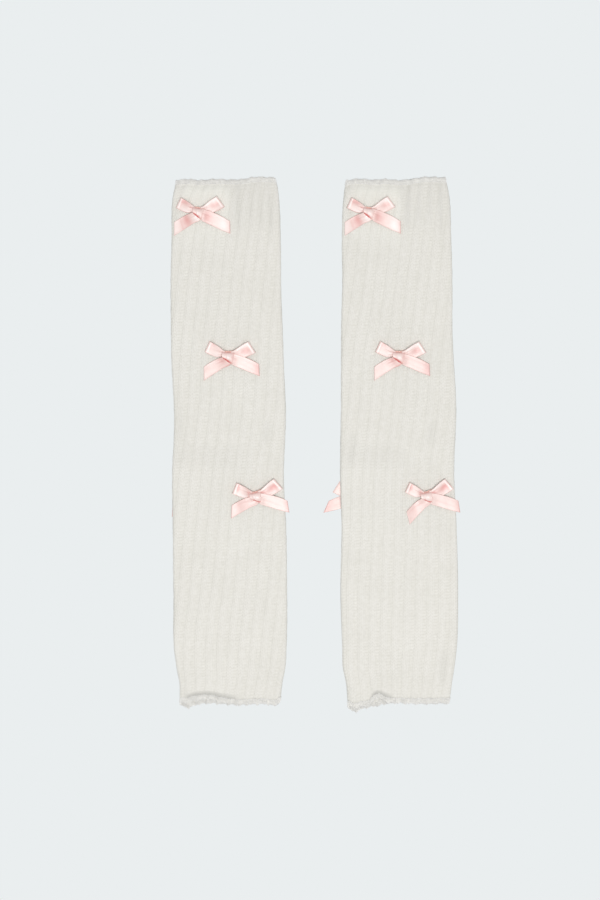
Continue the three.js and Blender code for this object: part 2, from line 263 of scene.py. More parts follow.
knit = {
    "cloth": 1.5,            # mm, thickness of the knit under a rib's valley
    "layerGap": 0.4,
    "ribs": 21,
    "ribHeight": 0.9,
    "ribSoft": 0.36,                            # share of the rib's height between its crest and valley
    "ribSteps": (0.25, 0.5, 0.75, 0.93, 1.0, 0.93, 0.75, 0.5, 0.25, 0.07, 0.0, 0.07),
    "stitchSteps": (-0.07, 0.09, -0.03, 0.09),  # mm over one wale, from gap to gap
    "purlSteps": (-0.04, 0.0, 0.05, 0.0),
    "vShape": (0.5, 0.12, -0.3, 0.12),          # how far a course is pushed up, in courses
    "pinch": 0.1,                               # mm between two stitches of a wale
    "wales": 3,                                 # in one rib
    "courses": 173,
    "gather": 0.5,                              # mm more rib where the top hem is drawn in
    "foldStretch": 2.2,                         # ribs lie this much closer round each side fold
    "scallop": 0.8,                             # mm, wave of a hem in and out
    "flare": 0.55,                              # mm, wave of a hem up and down
    "hemTop": 227.0,
    "hemBottom": -222.0,
    "hemReach": 32.0,
    "puff": 1.6,                                # mm that the front stands up in its middle
    "puffSide": 11.0,                           # mm over which it falls to a side
    "puffTop": 12.0,                            # mm over which it falls to the top hem
    "puffTopDrawn": 34.0,                       # and where that is drawn in, on the right
    "puffBottom": 20.0,
    "edgeThin": 0.4,                            # share of the cloth's thickness lost at a pressed hem
    "edgeDrop": {"top": 0.5, "bottom": 1.3},    # mm that the front falls at its hem
    "innerEvery": 3,                            # outer columns for one inner column
    "innerRowEvery": 4,
    "wobble": 0.22,                             # mm, wander of the ribs
    "hemInset": 0.9,                            # mm that the cloth ends short of its overlocked edge
    "backCurl": 1.5,                            # mm that the back of the top hem stands up
    "frill": {"top": 0.2, "bottom": 0.75},      # mm, smaller waves of the stretched hems
    "seamAt": {"top": 5.4, "bottom": 5.2},      # mm from a hem to the groove that its seam pulls in
    "seamWide": {"top": 1.2, "bottom": 1.1},
    "seamDeep": {"top": 0.4, "bottom": 1.2},
    # painted shade in the seams' grooves, in the troughs and over the drawn-in part
    "seamShade": {"top": 0.06, "bottom": 0.85},
    "troughShade": 0.3,
    "drawnShade": 0.05,
    "topLight": 0.27,                           # painted light on the smooth cloth left of the drawn-in part
    "seamSlow": 2.2,                            # how much slower a groove falls off towards the leg
    "curlOver": 2.5,                            # mm over which the top hem's back curls up
    "fullLift": 2.4,                            # mm, lift at which the bottom falls its whole edgeDrop
    "frillWaves": (37, 58),                     # round the leg
    # spans, each with its start and length: across the leg from 0 to 1, up it in mm, or of a share
    "puffDrawn": (0.5, 0.12),
    "gatherAcross": (0.55, 0.2),
    "seamFades": (0.6, 0.12),
    "drawnAcross": (0.5, 0.1),
    "drawnUp": (182, 10),
    # the spans of the painted light on the smooth top
    "paintedLightAcross": (0.07, 0.06),
    "paintedLightEnds": (0.56, -0.06),
    "paintedLightUp": (160, 35),
    "paintedLightTop": (223.5, -3),
    "pressedTop": (0.88, 0.12),
    "pressedBottom": (0.84, 0.16),
    "seamLift": (0.6, 1.2),
    "waving": (0.9, 0.1),
}

leftOutline = table(
    "y left right",
    (-222, -115.5, -29.0),
    (-205, -115.5, -27.4),
    (-190, -118.2, -24.8),
    (-176, -120.2, -24.2),
    (-125, -120.7, -23.4),
    (-73, -121.3, -24.4),
    (-22, -121.4, -26.2),
    (29, -120.4, -24.6),
    (80, -122.8, -26.8),
    (131, -123.1, -28.4),
    (178, -122.5, -29.2),
    (208, -121.7, -30.2),
    (227, -119.0, -33.4),
)
rightOutline = table(
    "y left right",
    (-222, 28.0, 115.2),
    (-205, 27.0, 117.4),
    (-190, 23.8, 119.7),
    (-176, 23.5, 121.4),
    (-125, 22.1, 122.7),
    (-73, 22.9, 121.5),
    (-22, 21.3, 119.1),
    (29, 22.5, 121.2),
    (80, 22.3, 118.3),
    (131, 23.3, 117.6),
    (178, 23.3, 116.8),
    (208, 24.0, 115.3),
    (227, 26.4, 112.3),
)
leftTopHem = table(
    "across back front lift",
    (0.00, -1.8, -1.6, 0.0),
    (0.12, -0.6, -0.4, 0.1),
    (0.25, -1.6, -1.4, 0.3),
    (0.38, -0.6, -0.4, 0.2),
    (0.55, -1.0, -0.8, 0.3),
    (0.68, -0.4, -0.3, 0.2),
    (0.78, 1.0, 1.2, 0.2),
    (1.00, 0.8, 1.0, 0.0),
)
rightTopHem = table(
    "across back front lift",
    (0.00, -1.8, -1.6, 0.0),
    (0.12, -0.4, -0.2, 0.1),
    (0.28, -1.3, -1.1, 0.3),
    (0.40, -0.6, -0.4, 0.2),
    (0.52, -1.6, -1.4, 0.3),
    (0.66, -0.4, -0.3, 0.2),
    (0.76, 0.9, 1.1, 0.2),
    (1.00, 0.8, 1.0, 0.0),
)
leftBottomHem = table(
    "across back front lift",
    (0.00, 0.5, -1.0, 0.0),
    (0.07, 3.4, -1.2, 1.4),
    (0.18, 0.6, -3.6, 2.4),
    (0.30, -0.3, -3.8, 2.4),
    (0.45, 0.4, -0.9, 1.8),
    (0.60, 1.0, 0.6, 0.8),
    (0.70, 0.2, 0.1, 0.0),
    (0.87, 0.0, 0.0, 0.3),
    (0.94, 1.3, 1.0, 0.6),
    (1.00, -2.5, -3.0, 0.0),
)
rightBottomHem = table(
    "across back front lift",
    (0.00, 3.0, 1.0, 0.0),
    (0.07, 7.0, 4.0, 0.9),
    (0.13, 4.8, 2.4, 0.6),
    (0.21, 3.0, 0.8, 0.8),
    (0.28, 2.0, -4.8, 2.4),
    (0.39, 0.0, -1.6, 1.6),
    (0.48, -0.8, -1.0, 0.4),
    (0.70, -0.2, -0.4, 0.0),
    (1.00, -0.6, -1.0, 0.0),
)
leftLean = table("y shift", (-230, 0), (0, 25.2), (235, 51))
rightLean = table("y shift", (-230, 0), (-48, 6), (235, 37))

# soft troughs pressed into the front layer: middle, run along the leg, width and depth in mm
leftTroughs = table(
    "x y run wide deep lean",
    (-65.3, 206, 44, 3.4, 0.7, 0.03),
    (-55.1, 208, 34, 3.0, 0.45, 0.03),
    (-47.2, 210, 36, 2.8, 0.45, 0.02),
    (-38.2, 203, 46, 3.4, 0.6, -0.04),
    (-115.5, 16, 30, 6, 0.5, 0.1),
    (-41.5, 11, 20, 7, 0.5, 0.1),
)
rightTroughs = table(
    "x y run wide deep lean",
    (79.8, 206, 44, 3.4, 0.7, 0.03),
    (88.8, 208, 34, 3.0, 0.45, 0.03),
    (98.2, 210, 36, 2.8, 0.45, 0.02),
    (107.6, 203, 46, 3.4, 0.6, -0.04),
    (31.5, -3, 26, 6, 0.5, 0.1),
    (99.5, 11, 20, 7, 0.5, 0.1),
    (110.0, -190, 30, 6, 0.6, 0.05),
)

# the bow pressed under each leg and the plateau that it makes in the cloth over it
pressed = {"y": -45.0, "high": 4.1, "left": 29.0, "right": 24.0, "up": 22.0, "slope": 26.0}

legs = [
    {"side": "left", "outline": leftOutline, "topHem": leftTopHem, "bottomHem": leftBottomHem,
     "lean": leftLean, "troughs": leftTroughs, "pressedX": -95.2, "seed": 3},
    {"side": "right", "outline": rightOutline, "topHem": rightTopHem, "bottomHem": rightBottomHem,
     "lean": rightLean, "troughs": rightTroughs, "pressedX": 38.7, "seed": 8},
]


def raiseAt(leg, x, y):
    dx = x - leg["pressedX"]
    beyondX = np.maximum(np.maximum(-dx - pressed["left"], dx - pressed["right"]), 0)
    beyondY = np.maximum(np.abs(y - pressed["y"]) - pressed["up"], 0)
    return pressed["high"] * ease(1 - np.hypot(beyondX, beyondY) / pressed["slope"])


def troughAt(leg, x, y):
    depth = np.zeros_like(x)
    for t in leg["troughs"]:
        dy = (y - t["y"]) / (t["run"] / 2)
        dx = (x - t["x"] - t["lean"] * (y - t["y"])) / (t["wide"] / 2)
        depth += t["deep"] * np.exp(-dx * dx) * np.exp(-dy**4)
    return depth


def wander(leg, around, y):
    # slow sideways wander of the ribs, the same every run
    random = np.random.default_rng(leg["seed"])
    total = np.zeros(np.broadcast(around, y).shape)
    for wave in (95, 150, 230):
        turns = random.integers(1, 5)
        start = random.uniform(0, 2 * math.pi, 2)
        along = np.sin(2 * math.pi * (y / wave) + start[0])
        total += along * np.sin(2 * math.pi * turns * around + start[1])
    return total * knit["wobble"]


def puffAt(leg, x, y):
    k = knit
    left, right = (readColumn(leg["outline"], "y", y, side) for side in ("left", "right"))
    inside = np.clip(np.minimum(x - left, right - x) / k["puffSide"], 0, 1)
    drawn = rise((x - left) / (right - left), k["puffDrawn"])
    overTop = k["puffTop"] + drawn * (k["puffTopDrawn"] - k["puffTop"])
    ends = ease((k["hemTop"] - y) / overTop) * ease((y - k["hemBottom"]) / k["puffBottom"])
    return k["puff"] * np.sqrt(1 - (1 - inside) ** 2) * ends


def seamAt(fromHem, end):
    # the groove falls off slowly towards the leg and quickly towards the hem
    away = (fromHem - knit["seamAt"][end]) / knit["seamWide"][end]
    away = np.where(away > 0, away / knit["seamSlow"], away)
    return np.exp(-away * away)


def clothPoint(leg, around, y):
    # middle of the cloth: around from 0 to 1 over the front, the right fold, the back, the left fold
    k = knit
    midRadius = (k["cloth"] + k["layerGap"]) / 2
    foldRadius = k["cloth"] + k["layerGap"] / 2
    left = readColumn(leg["outline"], "y", y, "left")
    right = readColumn(leg["outline"], "y", y, "right")
    start = left + foldRadius + k["ribHeight"] / 2
    straight = right - foldRadius - k["ribHeight"] / 2 - start
    fold = math.pi * midRadius * k["foldStretch"]
    length = 2 * (straight + fold)
    shift = readColumn(leg["lean"], "y", y, "shift") + wander(leg, around, y)
    along = ((around + shift / length) % 1) * length
    onFront = along < straight
    onRight = ~onFront & (along < straight + fold)
    onBack = ~onFront & ~onRight & (along < 2 * straight + fold)
    turnRight = math.pi * (along - straight) / fold
    turnLeft = math.pi * (along - 2 * straight - fold) / fold
    nx = np.select([onFront, onRight, onBack], [0, np.sin(turnRight), 0], -np.sin(turnLeft))
    nz = np.select([onFront, onRight, onBack], [1, np.cos(turnRight), -1], -np.cos(turnLeft))
    flatX = np.select([onFront, onRight, onBack],
                      [start + along, start + straight, start + 2 * straight + fold - along], start)
    x = flatX + nx * midRadius
    z = k["cloth"] / 2 + midRadius + nz * midRadius
    across = (x - left) / (right - left)
    front = (1 + nz) / 2
    nearTop = ease(1 - (k["hemTop"] - y) / k["hemReach"])
    nearBottom = ease(1 - (y - k["hemBottom"]) / k["hemReach"])

    def reach(hem):
        back = readColumn(hem, "across", across, "back")
        return back + (readColumn(hem, "across", across, "front") - back) * front

    movedY = y + nearTop * reach(leg["topHem"]) - nearBottom * reach(leg["bottomHem"])
    lift = (nearTop * readColumn(leg["topHem"], "across", across, "lift")
            + nearBottom * readColumn(leg["bottomHem"], "across", across, "lift")) * front
    gather = nearTop * front * rise(across, k["gatherAcross"]) * k["gather"]
    frontEdge = k["hemTop"] + readColumn(leg["topHem"], "across", across, "front")
    lift = lift + k["backCurl"] * (1 - front) * ease((movedY - frontEdge) / k["curlOver"])
    atTop, atBottom = rise(nearTop, k["pressedTop"]), rise(nearBottom, k["pressedBottom"])
    bottomDrop = atBottom * k["edgeDrop"]["bottom"] * lift / k["fullLift"]
    drop = (atTop * k["edgeDrop"]["top"] + bottomDrop) * front
    z = z + lift - drop + raiseAt(leg, x, y) + (puffAt(leg, x, y) - troughAt(leg, x, y)) * ease(nz)
    thin = 1 - k["edgeThin"] * np.maximum(atTop, atBottom * 0.5)
    topSeam = seamAt(k["hemTop"] - y, "top") * ease(nz) * (1 - 0.75 * rise(across, k["seamFades"]))
    bottomLift = rise(readColumn(leg["bottomHem"], "across", across, "lift"), k["seamLift"])
    bottomSeam = seamAt(y - k["hemBottom"], "bottom") * ease(nz) * (0.08 + 0.92 * bottomLift)
    z = z - topSeam * k["seamDeep"]["top"] - bottomSeam * k["seamDeep"]["bottom"]
    drawn = rise(across, k["drawnAcross"]) * rise(y, k["drawnUp"])
    paintedLightTop = rise(across, k["paintedLightEnds"]) * rise(across, k["paintedLightAcross"])
    paintedLightTop = paintedLightTop * rise(y, k["paintedLightTop"]) * rise(y, k["paintedLightUp"])
    # painted shade in the seams' grooves, the troughs and the drawn-in part, and painted light, below 0,
    # on the smooth top
    crease = topSeam * k["seamShade"]["top"] + bottomSeam * k["seamShade"]["bottom"]
    crease = crease + ease(nz) * (troughAt(leg, x, y) * k["troughShade"] + drawn * k["drawnShade"]
                                  - paintedLightTop * k["topLight"])
    return {"x": x, "y": movedY, "z": z, "nx": nx, "nz": nz, "gather": gather, "thin": thin,
            "nearTop": nearTop, "nearBottom": nearBottom, "front": front, "crease": crease}


def hemWave(leg, around, point):
    # the stretched hem waves in and out, and up and down, about once a rib and in smaller frills
    top, bottom = (rise(point[near], knit["waving"]) for near in ("nearTop", "nearBottom"))
    phase = 2 * math.pi * around
    coarse, fine = knit["frillWaves"]
    frill = np.sin(phase * coarse + leg["seed"]) * 0.55 + np.sin(phase * fine + 2 * leg["seed"]) * 0.45
    frill = frill * (top * knit["frill"]["top"] + bottom * knit["frill"]["bottom"])
    inOut = (top - bottom) * knit["scallop"] * (0.5 - 0.5 * np.cos(phase * knit["ribs"])) + frill
    wave = 1 + np.sin(phase * knit["ribs"] / 2 + leg["seed"])
    upDown = (top * 0.4 + bottom) * (knit["flare"] * wave + np.abs(frill) * 0.6) * point["front"]
    return inOut, upDown


def buildLeg(leg, material):
    k = knit
    columns = k["ribs"] * len(k["ribSteps"])
    rows = k["courses"] * 2 + 1
    courseHeight = (k["hemTop"] - k["hemBottom"] - 2 * k["hemInset"]) / k["courses"]
    column = np.arange(columns)
    row = np.arange(rows)
    wale = column // 4
    purl = wale % k["wales"] == k["wales"] - 1
    rib = np.array(k["ribSteps"])[column % len(k["ribSteps"])]
    stitch = np.where(purl, np.array(k["purlSteps"])[column % 4], np.array(k["stitchSteps"])[column % 4])
    vPush = np.where(purl, 0, np.array(k["vShape"])[column % 4])
    level = k["hemBottom"] + k["hemInset"] + row * courseHeight / 2
    fromHem = np.minimum(row, rows - 1 - row) / 2
    calm = ease(fromHem / 3)[:, None]
    around = np.broadcast_to(column / columns, (rows, columns))
    y = level[:, None] + calm * courseHeight * vPush[None, :]
    point = clothPoint(leg, around, y)
    pinch = np.where(row % 2 == 1, -1.0, 0.6)[:, None] * k["pinch"]
    pinch = pinch * np.where(column % 2 == 1, 1, 0.4)[None, :]
    rib = 0.5 + (rib - 0.5) * k["ribSoft"]
    relief = rib * (k["ribHeight"] + point["gather"]) * (0.75 + 0.25 * calm)
    relief = relief + calm * (stitch[None, :] + pinch)
    highest = k["ribHeight"] + max(k["stitchSteps"]) + 0.6 * k["pinch"]
    under = ease(-point["nz"])
    out = (k["cloth"] / 2 + relief) * point["thin"] - under * highest
    inOut, upDown = hemWave(leg, around, point)
    outer = np.stack([point["x"] + point["nx"] * out, point["y"] + inOut,
                      point["z"] + point["nz"] * out + upDown], -1)

    innerColumns = column[::k["innerEvery"]]
    innerRows = np.unique(np.append(row[::k["innerRowEvery"]], rows - 1))
    innerAround = np.broadcast_to(innerColumns / columns, (len(innerRows), len(innerColumns)))
    innerPoint = clothPoint(leg, innerAround, level[innerRows][:, None] + 0 * innerAround)
    inOut, upDown = hemWave(leg, innerAround, innerPoint)
    depth = (k["cloth"] / 2 - 0.1) * innerPoint["thin"]
    inner = np.stack([innerPoint["x"] - innerPoint["nx"] * depth, innerPoint["y"] + inOut,
                      innerPoint["z"] - innerPoint["nz"] * depth + upDown], -1)

    points = np.concatenate([outer.reshape(-1, 3), inner.reshape(-1, 3)])
    first = rows * columns
    few, ratio = len(innerColumns), k["innerEvery"]
    outerFaces = gridFaces(rows, columns)
    innerFaces = gridFaces(len(innerRows), few, first, flip=True)
    rims = []
    j = np.arange(few)
    for outerRow, innerRow, forward in ((0, 0, True), (rows - 1, len(innerRows) - 1, False)):
        a, b = first + innerRow * few + j, first + innerRow * few + (j + 1) % few
        ring = outerRow * columns
        fans = [np.stack([a, b, ring + (ratio * (j + 1)) % columns], 1)]
        for i in range(ratio):
            fans.append(np.stack([a, ring + (ratio * j + i + 1) % columns, ring + ratio * j + i], 1))
        fans = np.concatenate(fans)
        rims.append(fans if forward else fans[:, ::-1])
    rimFaces = np.concatenate(rims)

    # the map counts wales across and courses up, so the stitches of the finish line up with the mesh
    outerMap = np.stack([np.broadcast_to(column / 4, (rows, columns)),
                         np.broadcast_to(row[:, None] / 2, (rows, columns))], -1).reshape(-1, 2)
    innerMap = np.stack([np.broadcast_to(innerColumns / 4, innerAround.shape),
                         np.broadcast_to(innerRows[:, None] / 2, innerAround.shape)], -1).reshape(-1, 2)
    vertexMap = np.concatenate([outerMap, innerMap])
    uvs = []
    for faces in (outerFaces, innerFaces, rimFaces):
        uv = vertexMap[faces]
        wraps = (uv[..., 0].max(1) - uv[..., 0].min(1)) > columns / 8
        u = uv[wraps, :, 0]
        uv[wraps, :, 0] = np.where(u < columns / 8, u + columns / 4, u)
        uvs.append(uv)
    name = "knit_leg_" + leg["side"]
    # the painted shade and painted light, a third as strong on the inner face
    creases = np.concatenate([point["crease"].ravel(), 0.3 * innerPoint["crease"].ravel()])
    piece = makeMesh(name, points, [outerFaces, innerFaces, rimFaces], material, uvs, creases)
    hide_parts("leg_" + leg["side"])
    return piece


# finishes

knitFinish = {
    "yarn": srgb(235, 233, 227),
    # the darker end of the colour, for the painted shade of stitch gaps, rib valleys and rows, and for
    # random mottle
    "shade": srgb(221, 219, 211),
    # colours of the painted shade in grooves and troughs, and of the painted light on the smooth top
    "crease": srgb(192, 191, 186),
    "light": srgb(248, 248, 239),
    "purlFrom": 0.6667,       # of a rib, where its last wale starts
    # painted light on the rib crests and painted shade in the rib valleys
    "paintedRibShade": 0.13,
    "ribCrest": 0.4,          # of a rib, from its left side, where the painted light is brightest
    "paintedGapShade": 0.24,       # painted shade in the gaps between the stitches
    "paintedRowShade": 0.3,           # and along the rows of stitches, in patches
    "lumpTone": 1.1,
    "bump": 0.5,
    "bumpHeight": 0.0004,
}


def makeKnit(s):
    f = Finish("creamRibKnit")
    wale, course = f.mapped()
    inWale = wale.fract()
    purl = (wale / 3).fract() > s["purlFrom"]
    fromMiddle = inWale.away(0.5)
    fromLeg = (fromMiddle - 0.25) * 4
    legRound = (1 - fromLeg * fromLeg).clamped()
    sloped = (course - fromMiddle * 1.6).fract()
    inStitch = sloped * 2 - 1
    stitchRound = 1 - inStitch * inStitch
    inPurl = course.fract() * 2 - 1
    purlRound = (1 - inPurl * inPurl * 0.6) * (1 - (fromMiddle * 2) ** 4)
    ply = ((sloped * 3 + fromMiddle * 9) * fullTurn).sine() * 0.5 + 0.5
    stitches = legRound * (0.62 + stitchRound * 0.38) + ply * 0.1
    height = stitches * (1 - purl) + purlRound * 0.6 * purl
    spot = f.spot()
    fuzz = f.noise(spot, 2600.0, 4.0)
    mottle = f.noise(spot, 38.0, 3.0)
    lumps = f.noise(spot, 430.0, 1.0)
    patches = f.noise(spot, 75.0, 1.0)
    # painted light on each rib's crest and painted shade in its valley
    paintedRibShade = ((wale / 3 + 0.25 - s["ribCrest"]) * fullTurn).sine() * s["paintedRibShade"]
    # painted shade along the rows of stitches, in patches
    rows = (course * fullTurn).sine() * (patches - 0.25) * s["paintedRowShade"] * 2
    speckle = (mottle - 0.5) * 0.5 + (fuzz - 0.5) * 0.3 + (lumps - 0.5) * s["lumpTone"]
    # the colour goes from yarn towards shade with the painted shade of stitch gaps, ribs and rows, and
    # with random mottle
    depth = ((height - 0.55) * s["paintedGapShade"] + 0.5 + paintedRibShade + rows + speckle).clamped()
    # painted shade from the attribute in grooves and troughs, and painted light where it is below 0
    withPaintedShade = f.mixColours(f.crease().clamped(), f.mixColours(depth, s["shade"], s["yarn"]), s["crease"])
    colour = f.mixColours((0 - f.crease()).clamped(), withPaintedShade, s["light"])
    bump = f.add("ShaderNodeBump", {}, {"Strength": s["bump"], "Distance": s["bumpHeight"],
                                        "Height": height + fuzz * 0.25})
    f.set(Base_Color=colour, Roughness=0.92, Normal=f.out(bump))
    f.set(Sheen_Weight=0.25, Sheen_Roughness=0.5, Specular_IOR_Level=0.2)
    return f.material


threadFinish = {
    "thread": srgb(237, 236, 233),
    "shade": srgb(217, 216, 213),
}


def makeThread(s):
    f = Finish("overlockThread")
    spot = f.spot()
    strands = f.noise(spot, 1500.0, 2.0)
    patches = f.noise(spot, 260.0, 1.0)
    colour = f.mixColours((strands * 0.5 + patches * 2 - 0.55).clamped(), s["shade"], s["thread"])
    bump = f.add("ShaderNodeBump", {}, {"Strength": 0.4, "Distance": 0.0003, "Height": strands})
    f.set(Base_Color=colour, Roughness=0.85, Normal=f.out(bump))
    f.set(Sheen_Weight=0.6, Specular_IOR_Level=0.25)
    return f.material


# overlock sewing round the hems

overlock = {
    "bitesPerRib": 8,         # loops of thread in one rib
    "steps": 12,              # points in one loop
    "sides": 5,
    "thread": 0.38,           # mm, radius
    "reachIn": {"top": 4.2, "bottom": 4.4},     # mm that the loops reach into the leg
    "reachOut": -0.4,         # mm past the edge of the leg
    "standOff": 0.15,         # mm between the cloth and the thread's middle
    "needleIn": {"top": 4.3, "bottom": 4.5},    # mm from the edge to the line of needle thread
    "unevenness": {"top": 0.25, "bottom": 0.55},
}


def tubeAlong(path, guide, radius, sides):
    # a closed tube round a path that ends where it starts
    path = np.asarray(path)
    along = np.roll(path, -1, 0) - np.roll(path, 1, 0)
    along /= np.linalg.norm(along, axis=1, keepdims=True)
    first = guide - (guide * along).sum(1, keepdims=True) * along
    first /= np.linalg.norm(first, axis=1, keepdims=True)
    second = np.cross(along, first)
    turn = 2 * math.pi * np.arange(sides) / sides
    points = (path[:, None] + radius * (np.cos(turn)[None, :, None] * first[:, None]
                                        + np.sin(turn)[None, :, None] * second[:, None]))
    rows = len(path)
    faces = gridFaces(rows + 1, sides) % (rows * sides)
    return points.reshape(-1, 3), faces


def buildHem(leg, end, material):
    k, o = knit, overlock
    top = end == "top"
    outward = 1 if top else -1
    bites = k["ribs"] * o["bitesPerRib"]
    count = bites * o["steps"]
    around = np.arange(count) / count
    random = np.random.default_rng(leg["seed"] + (10 if top else 20))
    uneven = 1 + o["unevenness"][end] * (random.random(bites) - 0.5)
    uneven = np.repeat(uneven, o["steps"])
    loose = np.repeat(random.random(bites) * o["unevenness"][end] * 0.5, o["steps"])
    turn = 2 * math.pi * bites * around
    bite = np.cos(turn)
    side = np.sin(turn)
    side = np.sign(side) * np.abs(side) ** 0.6
    middleOut = (o["reachOut"] - o["reachIn"][end] * uneven) / 2
    half = (o["reachOut"] + o["reachIn"][end] * uneven) / 2
    inset = middleOut + half * bite
    level = (k["hemTop"] if top else k["hemBottom"]) + outward * np.minimum(inset, 0)
    point = clothPoint(leg, around, level)
    inOut, upDown = hemWave(leg, around, point)
    beyond = outward * np.maximum(inset, 0)
    columns = around * k["ribs"] * len(k["ribSteps"])
    ribs = np.interp(columns % 12, np.arange(13), k["ribSteps"] + k["ribSteps"][:1])
    under = ease(-point["nz"])
    hug = k["cloth"] / 2 * point["thin"] + o["standOff"]
    outer = hug + (0.2 + ribs * 0.5) * k["ribHeight"] * point["thin"] * (1 - under)
    outer = outer - 0.25 * under + loose * 0.5
    away = np.where(side > 0, side * outer, side * (hug - 0.05 + loose))
    path = np.stack([point["x"] + point["nx"] * away,
                     point["y"] + inOut + beyond,
                     point["z"] + point["nz"] * away + upDown], -1)
    path[:, 2] = np.maximum(path[:, 2], o["thread"])
    guide = np.roll(path, -o["steps"], 0) - np.roll(path, o["steps"], 0)
    coil, coilFaces = tubeAlong(path, guide, o["thread"], o["sides"])

    # the line of needle thread on the outer face
    wave = np.sin(turn / 2)
    level = (k["hemTop"] if top else k["hemBottom"]) - outward * (o["needleIn"][end] + 0.35 * wave)
    point = clothPoint(leg, around, level)
    inOut, upDown = hemWave(leg, around, point)
    path = np.stack([point["x"] + point["nx"] * (outer + 0.2), point["y"] + inOut,
                     point["z"] + point["nz"] * (outer + 0.2) + upDown], -1)
    path[:, 2] = np.maximum(path[:, 2], o["thread"])
    across = np.stack([point["nx"], 0 * point["nx"], point["nz"]], -1)
    line, lineFaces = tubeAlong(path, across, o["thread"] * 0.8, o["sides"])
    name = "hem_thread_" + leg["side"] + "_" + end
    faces = np.concatenate([coilFaces, lineFaces + len(coil)])
    piece = makeMesh(name, np.concatenate([coil, line]), [faces], material)
    return piece


knitMaterial = makeKnit(knitFinish)
threadMaterial = makeThread(threadFinish)
for leg in legs:
    cloth = buildLeg(leg, knitMaterial)
    hems = [buildHem(leg, end, threadMaterial) for end in ("top", "bottom")]
    print("leg knitted:", leg["side"])


# satin bows

satinFinish = {
    "pale": srgb(243, 222, 217),
    "deep": srgb(237, 207, 200),
    # colours of the painted shade in the creases and of the painted highlight on bright strips
    "crease": srgb(214, 112, 108),
    "shine": srgb(255, 247, 245),
    # painted shade: a deeper, oranger pink near the knot and at the knot's foot
    "knot": srgb(236, 176, 156),
    "edge": srgb(234, 184, 176),
    "edgeWide": 0.03,         # of the ribbon's width
    "knotShadeReach": 0.6,         # cm from the knot over which its painted shade fades
    "roughness": 0.36,
}


def makeSatin(s):
    # the map counts ribbon widths across and centimetres from the knot along
    f = Finish("pinkSatin")
    across, along = f.mapped()
    stretched = f.add("ShaderNodeCombineXYZ", {}, {"X": across * 70, "Y": along * 2})
    threads = f.noise(f.out(stretched), 1.0, 2.0)
    cloud = f.noise(f.spot(), 220.0, 2.0)
    body = f.mixColours((threads * 0.35 + cloud * 1.1 - 0.2).clamped(), s["deep"], s["pale"])
    # painted shade near the knot, strongest at the knot's foot
    near = (1 - along / s["knotShadeReach"]).clamped()
    withKnotShade = f.mixColours(near * 0.75, body, s["knot"])
    # painted shade in the creases, and painted highlight where the attribute is below 0
    withPaintedShade = f.mixColours(f.crease().clamped(), withKnotShade, s["crease"])
    withPaintedHighlight = f.mixColours((0 - f.crease()).clamped(), withPaintedShade, s["shine"])
    selvedge = across.away(0.5) > 0.5 - s["edgeWide"]
    colour = f.mixColours(selvedge * 0.4, withPaintedHighlight, s["edge"])
    picks = (along * 150).sine() * 0.5 + 0.5
    bump = f.add("ShaderNodeBump", {}, {"Strength": 0.2, "Distance": 0.00015,
                                        "Height": threads + picks * 0.2 + selvedge * 0.8})
    f.set(Base_Color=colour, Roughness=(threads * 0.12 + s["roughness"] - 0.06), Normal=f.out(bump))
    f.set(Specular_IOR_Level=0.62, Sheen_Weight=0.1)
    return f.material


ribbon = {
    "thick": 0.3,             # mm
    "columns": 23,
    "rowsPerStation": 7,
    "rim": 0.1,               # mm that the woven edge stands up
    "endInset": 1.0,          # mm from a loop's end to where it starts to turn
    "backLevel": 0.7,         # mm, how low the back of a loop lies
    "levelFrom": 7.0,         # mm from the side of the leg to where a ribbon no longer follows it down
    "base": 4.2,              # mm from the floor to where a bow lies, over the tops of the ribs
    "pressedHigh": 3.6,       # mm, height of a bow under a leg
    "pressedSquash": 0.62,
}

# Stations of the five stretches of ribbon, in mm from the middle of the knot and up from the ribs:
# the two edges, how far the middle bulges up, and how deep the gathers of the knot still are.
leftTail = table(
    "a b bulge gather",
    ((-3.0, 1.5, 2.8), (3.2, -5.4, 2.8), 0.0, 0.25),
    ((-5.6, -0.4, 2.0), (0.6, -7.6, 2.1), 0.2, 0.2),
    ((-9.0, -1.6, 1.0), (-3.8, -9.4, 1.3), 0.2, 0.08),
    ((-13.0, -3.5, 0.7), (-8.6, -12.4, 0.6), 0.1, 0.0),
    ((-17.0, -5.9, 0.8), (-14.4, -16.2, 0.6), 0.0, 0.0),
    ((-20.8, -8.6, 0.7), (-20.8, -20.4, 0.5), 0.0, 0.0),
)
rightTail = table(
    "a b bulge gather",
    ((1.5, 3.2, 3.4), (1.4, -3.8, 2.6), 0.4, 0.25),
    ((4.6, 2.6, 3.6), (3.4, -6.7, 2.6), 0.4, 0.2),
    ((9.0, 1.5, 3.2), (7.2, -8.5, 1.9), 0.1, 0.06),
    ((14.6, -0.5, 2.6), (12.8, -10.9, 1.5), 0.0, 0.0),
    ((20.4, -3.0, 1.8), (19.4, -13.7, 1.2), 0.1, 0.0),
    ((26.3, -6.3, 1.1), (26.8, -16.4, 0.8), 0.1, 0.0),
)
leftLoop = table(
    "a b bulge gather",
    ((-2.5, 4.6, 2.8), (-3.4, 0.6, 2.9), 0.2, 0.3),
    ((-5.2, 6.4, 3.3), (-6.3, 0.2, 3.0), 0.2, 0.25),
    ((-8.4, 8.9, 3.5), (-10.0, -0.3, 2.9), 0.1, 0.12),
    ((-12.2, 11.1, 3.5), (-14.8, 1.4, 2.7), 0.0, 0.0),
    ((-15.7, 13.1, 3.4), (-19.9, 4.0, 2.7), 0.0, 0.0),
)
